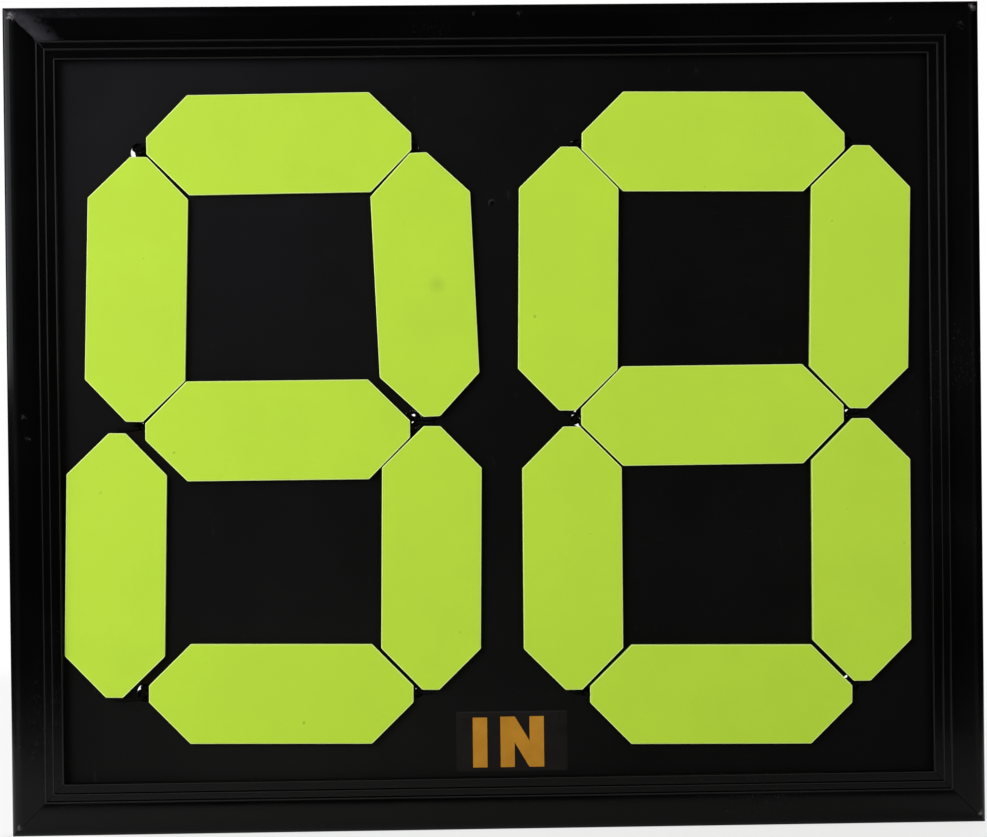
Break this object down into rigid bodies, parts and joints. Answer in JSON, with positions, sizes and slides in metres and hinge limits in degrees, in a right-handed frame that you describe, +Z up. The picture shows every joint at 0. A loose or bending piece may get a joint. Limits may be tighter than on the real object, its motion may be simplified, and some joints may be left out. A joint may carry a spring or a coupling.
{
  "type": "substitution board",
  "caption": "Substitution board with numbers made of turnable fluorescent plates strung on elastic cord, on a black panel in a mitred picture-frame moulding.",
  "frame": {"origin": "middle of the bottom edge that the board stands on, midway between its front and back", "axes": "+X to the right as seen from the front, -Y out of the front face, +Z up"},
  "size_m": [0.65, 0.024, 0.55],
  "materials": {
    "frame": "gloss black lacquer on a picture-frame moulding",
    "panel": "matte black paint on thin board, dusty",
    "bead": "satin black paint",
    "nail": "bright steel",
    "green_plate": "fluorescent yellow-green on the face, black on the reverse",
    "red_plate": "fluorescent red on the face, black on the reverse",
    "cord": "black braided elastic"
  },
  "bodies": {
    "board": {"frame_rail_top": "frame", "frame_rail_bottom": "frame", "frame_rail_left": "frame", "frame_rail_right": "frame", "board_panel": "panel", "rear_bead_top": "bead", "rear_bead_bottom": "bead", "rear_bead_left": "bead", "rear_bead_right": "bead", "corner_nail_bottom_left": "nail", "corner_nail_top_left": "nail", "corner_nail_top_right": "nail", "corner_nail_bottom_right": "nail", "left_laced_cord": "cord", "right_laced_cord": "cord"},
    "left_top_cord": {"left_top_cord": "cord"},
    "left_top_plate": {"left_top_plate": "green_plate"},
    "rear_left_top_plate": {"rear_left_top_plate": "red_plate"},
    "left_upper_left_cord": {"left_upper_left_cord": "cord"},
    "left_upper_left_plate": {"left_upper_left_plate": "green_plate"},
    "rear_left_upper_left_plate": {"rear_left_upper_left_plate": "red_plate"},
    "left_upper_right_cord": {"left_upper_right_cord": "cord"},
    "left_upper_right_plate": {"left_upper_right_plate": "green_plate"},
    "rear_left_upper_right_plate": {"rear_left_upper_right_plate": "red_plate"},
    "left_middle_cord": {"left_middle_cord": "cord"},
    "left_middle_plate": {"left_middle_plate": "green_plate"},
    "rear_left_middle_plate": {"rear_left_middle_plate": "red_plate"},
    "left_lower_left_cord": {"left_lower_left_cord": "cord"},
    "left_lower_left_plate": {"left_lower_left_plate": "green_plate"},
    "rear_left_lower_left_plate": {"rear_left_lower_left_plate": "red_plate"},
    "left_lower_right_cord": {"left_lower_right_cord": "cord"},
    "left_lower_right_plate": {"left_lower_right_plate": "green_plate"},
    "rear_left_lower_right_plate": {"rear_left_lower_right_plate": "red_plate"},
    "left_bottom_cord": {"left_bottom_cord": "cord"},
    "left_bottom_plate": {"left_bottom_plate": "green_plate"},
    "rear_left_bottom_plate": {"rear_left_bottom_plate": "red_plate"},
    "right_top_cord": {"right_top_cord": "cord"},
    "right_top_plate": {"right_top_plate": "green_plate"},
    "rear_right_top_plate": {"rear_right_top_plate": "red_plate"},
    "right_upper_left_cord": {"right_upper_left_cord": "cord"},
    "right_upper_left_plate": {"right_upper_left_plate": "green_plate"},
    "rear_right_upper_left_plate": {"rear_right_upper_left_plate": "red_plate"},
    "right_upper_right_cord": {"right_upper_right_cord": "cord"},
    "right_upper_right_plate": {"right_upper_right_plate": "green_plate"},
    "rear_right_upper_right_plate": {"rear_right_upper_right_plate": "red_plate"},
    "right_middle_cord": {"right_middle_cord": "cord"},
    "right_middle_plate": {"right_middle_plate": "green_plate"},
    "rear_right_middle_plate": {"rear_right_middle_plate": "red_plate"},
    "right_lower_left_cord": {"right_lower_left_cord": "cord"},
    "right_lower_left_plate": {"right_lower_left_plate": "green_plate"},
    "rear_right_lower_left_plate": {"rear_right_lower_left_plate": "red_plate"},
    "right_lower_right_cord": {"right_lower_right_cord": "cord"},
    "right_lower_right_plate": {"right_lower_right_plate": "green_plate"},
    "rear_right_lower_right_plate": {"rear_right_lower_right_plate": "red_plate"},
    "right_bottom_cord": {"right_bottom_cord": "cord"},
    "right_bottom_plate": {"right_bottom_plate": "green_plate"},
    "rear_right_bottom_plate": {"rear_right_bottom_plate": "red_plate"}
  },
  "joints": [
    {"name": "left_top_swing", "type": "hinge", "parent": "board", "child": "left_top_cord", "pos_m": [-0.143, -0.0055, 0.45866], "axis": [1, 0, 0.0087], "range_deg": [-180, 0]},
    {"name": "left_top_turn", "type": "hinge", "parent": "left_top_cord", "child": "left_top_plate", "pos_m": [-0.14286, -0.0055, 0.44203], "axis": [1, 0, 0.0087], "range_deg": [0, 360], "deforming": ["left_top_cord"]},
    {"name": "rear_left_top_pull", "type": "slide", "parent": "board", "child": "rear_left_top_plate", "axis": [0, 1, 0], "range_m": [0, 0.035], "stiffness_N_per_m": 60, "springref_m": -0.01, "deforming": ["left_laced_cord"]},
    {"name": "left_upper_left_swing", "type": "hinge", "parent": "board", "child": "left_upper_left_cord", "pos_m": [-0.23866, -0.0055, 0.36267], "axis": [0.0279, 0, 0.9996], "range_deg": [-180, 0]},
    {"name": "left_upper_left_turn", "type": "hinge", "parent": "left_upper_left_cord", "child": "left_upper_left_plate", "pos_m": [-0.22204, -0.0055, 0.36221], "axis": [0.0279, 0, 0.9996], "range_deg": [0, 360], "deforming": ["left_upper_left_cord"]},
    {"name": "rear_left_upper_left_pull", "type": "slide", "parent": "board", "child": "rear_left_upper_left_plate", "axis": [0, 1, 0], "range_m": [0, 0.035], "stiffness_N_per_m": 60, "springref_m": -0.01, "deforming": ["left_laced_cord"]},
    {"name": "left_upper_right_swing", "type": "hinge", "parent": "board", "child": "left_upper_right_cord", "pos_m": [-0.04702, -0.0055, 0.364], "axis": [-0.0401, 0, 0.9992], "range_deg": [-180, 0]},
    {"name": "left_upper_right_turn", "type": "hinge", "parent": "left_upper_right_cord", "child": "left_upper_right_plate", "pos_m": [-0.03041, -0.0055, 0.36467], "axis": [-0.0401, 0, 0.9992], "range_deg": [0, 360], "deforming": ["left_upper_right_cord"]},
    {"name": "rear_left_upper_right_pull", "type": "slide", "parent": "board", "child": "rear_left_upper_right_plate", "axis": [0, 1, 0], "range_m": [0, 0.035], "stiffness_N_per_m": 60, "springref_m": -0.01, "deforming": ["left_laced_cord"]},
    {"name": "left_middle_swing", "type": "hinge", "parent": "board", "child": "left_middle_cord", "pos_m": [-0.146, -0.0055, 0.26802], "axis": [1, 0, 0], "range_deg": [-180, 0]},
    {"name": "left_middle_turn", "type": "hinge", "parent": "left_middle_cord", "child": "left_middle_plate", "pos_m": [-0.146, -0.0055, 0.25139], "axis": [1, 0, 0], "range_deg": [0, 360], "deforming": ["left_middle_cord"]},
    {"name": "rear_left_middle_pull", "type": "slide", "parent": "board", "child": "rear_left_middle_plate", "axis": [0, 1, 0], "range_m": [0, 0.035], "stiffness_N_per_m": 60, "springref_m": -0.01, "deforming": ["left_laced_cord"]},
    {"name": "left_lower_left_swing", "type": "hinge", "parent": "board", "child": "left_lower_left_cord", "pos_m": [-0.25462, -0.0055, 0.17935], "axis": [0.0227, 0, 0.9997], "range_deg": [-180, 0]},
    {"name": "left_lower_left_turn", "type": "hinge", "parent": "left_lower_left_cord", "child": "left_lower_left_plate", "pos_m": [-0.238, -0.0055, 0.17897], "axis": [0.0227, 0, 0.9997], "range_deg": [0, 360], "deforming": ["left_lower_left_cord"]},
    {"name": "rear_left_lower_left_pull", "type": "slide", "parent": "board", "child": "rear_left_lower_left_plate", "axis": [0, 1, 0], "range_m": [0, 0.035], "stiffness_N_per_m": 60, "springref_m": -0.01, "deforming": ["left_laced_cord"]},
    {"name": "left_lower_right_swing", "type": "hinge", "parent": "board", "child": "left_lower_right_cord", "pos_m": [-0.04469, -0.0055, 0.18167], "axis": [0.0157, 0, 0.9999], "range_deg": [-180, 0]},
    {"name": "left_lower_right_turn", "type": "hinge", "parent": "left_lower_right_cord", "child": "left_lower_right_plate", "pos_m": [-0.02807, -0.0055, 0.18141], "axis": [0.0157, 0, 0.9999], "range_deg": [0, 360], "deforming": ["left_lower_right_cord"]},
    {"name": "rear_left_lower_right_pull", "type": "slide", "parent": "board", "child": "rear_left_lower_right_plate", "axis": [0, 1, 0], "range_m": [0, 0.035], "stiffness_N_per_m": 60, "springref_m": -0.01, "deforming": ["left_laced_cord"]},
    {"name": "left_bottom_swing", "type": "hinge", "parent": "board", "child": "left_bottom_cord", "pos_m": [-0.14566, -0.0055, 0.09234], "axis": [0.9999, 0, -0.014], "range_deg": [-180, 0]},
    {"name": "left_bottom_turn", "type": "hinge", "parent": "left_bottom_cord", "child": "left_bottom_plate", "pos_m": [-0.1459, -0.0055, 0.07572], "axis": [0.9999, 0, -0.014], "range_deg": [0, 360], "deforming": ["left_bottom_cord"]},
    {"name": "rear_left_bottom_pull", "type": "slide", "parent": "board", "child": "rear_left_bottom_plate", "axis": [0, 1, 0], "range_m": [0, 0.035], "stiffness_N_per_m": 60, "springref_m": -0.01, "deforming": ["left_laced_cord"]},
    {"name": "right_top_swing", "type": "hinge", "parent": "board", "child": "right_top_cord", "pos_m": [0.14666, -0.0055, 0.45766], "axis": [1, 0, -0.0087], "range_deg": [-180, 0]},
    {"name": "right_top_turn", "type": "hinge", "parent": "right_top_cord", "child": "right_top_plate", "pos_m": [0.14652, -0.0055, 0.44104], "axis": [1, 0, -0.0087], "range_deg": [0, 360], "deforming": ["right_top_cord"]},
    {"name": "rear_right_top_pull", "type": "slide", "parent": "board", "child": "rear_right_top_plate", "axis": [0, 1, 0], "range_m": [0, 0.035], "stiffness_N_per_m": 60, "springref_m": -0.01, "deforming": ["right_laced_cord"]},
    {"name": "right_upper_left_swing", "type": "hinge", "parent": "board", "child": "right_upper_left_cord", "pos_m": [0.04868, -0.0055, 0.36699], "axis": [0.0157, 0, 0.9999], "range_deg": [-180, 0]},
    {"name": "right_upper_left_turn", "type": "hinge", "parent": "right_upper_left_cord", "child": "right_upper_left_plate", "pos_m": [0.06531, -0.0055, 0.36673], "axis": [0.0157, 0, 0.9999], "range_deg": [0, 360], "deforming": ["right_upper_left_cord"]},
    {"name": "rear_right_upper_left_pull", "type": "slide", "parent": "board", "child": "rear_right_upper_left_plate", "axis": [0, 1, 0], "range_m": [0, 0.035], "stiffness_N_per_m": 60, "springref_m": -0.01, "deforming": ["right_laced_cord"]},
    {"name": "right_upper_right_swing", "type": "hinge", "parent": "board", "child": "right_upper_right_cord", "pos_m": [0.24398, -0.0055, 0.36633], "axis": [0.0209, 0, 0.9998], "range_deg": [-180, 0]},
    {"name": "right_upper_right_turn", "type": "hinge", "parent": "right_upper_right_cord", "child": "right_upper_right_plate", "pos_m": [0.2606, -0.0055, 0.36598], "axis": [0.0209, 0, 0.9998], "range_deg": [0, 360], "deforming": ["right_upper_right_cord"]},
    {"name": "rear_right_upper_right_pull", "type": "slide", "parent": "board", "child": "rear_right_upper_right_plate", "axis": [0, 1, 0], "range_m": [0, 0.035], "stiffness_N_per_m": 60, "springref_m": -0.01, "deforming": ["right_laced_cord"]},
    {"name": "right_middle_swing", "type": "hinge", "parent": "board", "child": "right_middle_cord", "pos_m": [0.14433, -0.0055, 0.275], "axis": [1, 0, 0.0017], "range_deg": [-180, 0]},
    {"name": "right_middle_turn", "type": "hinge", "parent": "right_middle_cord", "child": "right_middle_plate", "pos_m": [0.14436, -0.0055, 0.25837], "axis": [1, 0, 0.0017], "range_deg": [0, 360], "deforming": ["right_middle_cord"]},
    {"name": "rear_right_middle_pull", "type": "slide", "parent": "board", "child": "rear_right_middle_plate", "axis": [0, 1, 0], "range_m": [0, 0.035], "stiffness_N_per_m": 60, "springref_m": -0.01, "deforming": ["right_laced_cord"]},
    {"name": "right_lower_left_swing", "type": "hinge", "parent": "board", "child": "right_lower_left_cord", "pos_m": [0.04968, -0.0055, 0.18034], "axis": [0.0017, 0, 1], "range_deg": [-180, 0]},
    {"name": "right_lower_left_turn", "type": "hinge", "parent": "right_lower_left_cord", "child": "right_lower_left_plate", "pos_m": [0.06631, -0.0055, 0.18032], "axis": [0.0017, 0, 1], "range_deg": [0, 360], "deforming": ["right_lower_left_cord"]},
    {"name": "rear_right_lower_left_pull", "type": "slide", "parent": "board", "child": "rear_right_lower_left_plate", "axis": [0, 1, 0], "range_m": [0, 0.035], "stiffness_N_per_m": 60, "springref_m": -0.01, "deforming": ["right_laced_cord"]},
    {"name": "right_lower_right_swing", "type": "hinge", "parent": "board", "child": "right_lower_right_cord", "pos_m": [0.24331, -0.0055, 0.18367], "axis": [0.0035, 0, 1], "range_deg": [-180, 0]},
    {"name": "right_lower_right_turn", "type": "hinge", "parent": "right_lower_right_cord", "child": "right_lower_right_plate", "pos_m": [0.25994, -0.0055, 0.18361], "axis": [0.0035, 0, 1], "range_deg": [0, 360], "deforming": ["right_lower_right_cord"]},
    {"name": "rear_right_lower_right_pull", "type": "slide", "parent": "board", "child": "rear_right_lower_right_plate", "axis": [0, 1, 0], "range_m": [0, 0.035], "stiffness_N_per_m": 60, "springref_m": -0.01, "deforming": ["right_laced_cord"]},
    {"name": "right_bottom_swing", "type": "hinge", "parent": "board", "child": "right_bottom_cord", "pos_m": [0.14833, -0.0055, 0.08802], "axis": [0.9999, 0, -0.0122], "range_deg": [-180, 0]},
    {"name": "right_bottom_turn", "type": "hinge", "parent": "right_bottom_cord", "child": "right_bottom_plate", "pos_m": [0.14812, -0.0055, 0.07139], "axis": [0.9999, 0, -0.0122], "range_deg": [0, 360], "deforming": ["right_bottom_cord"]},
    {"name": "rear_right_bottom_pull", "type": "slide", "parent": "board", "child": "rear_right_bottom_plate", "axis": [0, 1, 0], "range_m": [0, 0.035], "stiffness_N_per_m": 60, "springref_m": -0.01, "deforming": ["right_laced_cord"]}
  ],
  "couplings": [
    {"joint": "left_top_swing", "follows": "left_top_turn", "ratio": -0.5},
    {"joint": "left_upper_left_swing", "follows": "left_upper_left_turn", "ratio": -0.5},
    {"joint": "left_upper_right_swing", "follows": "left_upper_right_turn", "ratio": -0.5},
    {"joint": "left_middle_swing", "follows": "left_middle_turn", "ratio": -0.5},
    {"joint": "left_lower_left_swing", "follows": "left_lower_left_turn", "ratio": -0.5},
    {"joint": "left_lower_right_swing", "follows": "left_lower_right_turn", "ratio": -0.5},
    {"joint": "left_bottom_swing", "follows": "left_bottom_turn", "ratio": -0.5},
    {"joint": "right_top_swing", "follows": "right_top_turn", "ratio": -0.5},
    {"joint": "right_upper_left_swing", "follows": "right_upper_left_turn", "ratio": -0.5},
    {"joint": "right_upper_right_swing", "follows": "right_upper_right_turn", "ratio": -0.5},
    {"joint": "right_middle_swing", "follows": "right_middle_turn", "ratio": -0.5},
    {"joint": "right_lower_left_swing", "follows": "right_lower_left_turn", "ratio": -0.5},
    {"joint": "right_lower_right_swing", "follows": "right_lower_right_turn", "ratio": -0.5},
    {"joint": "right_bottom_swing", "follows": "right_bottom_turn", "ratio": -0.5}
  ]
}
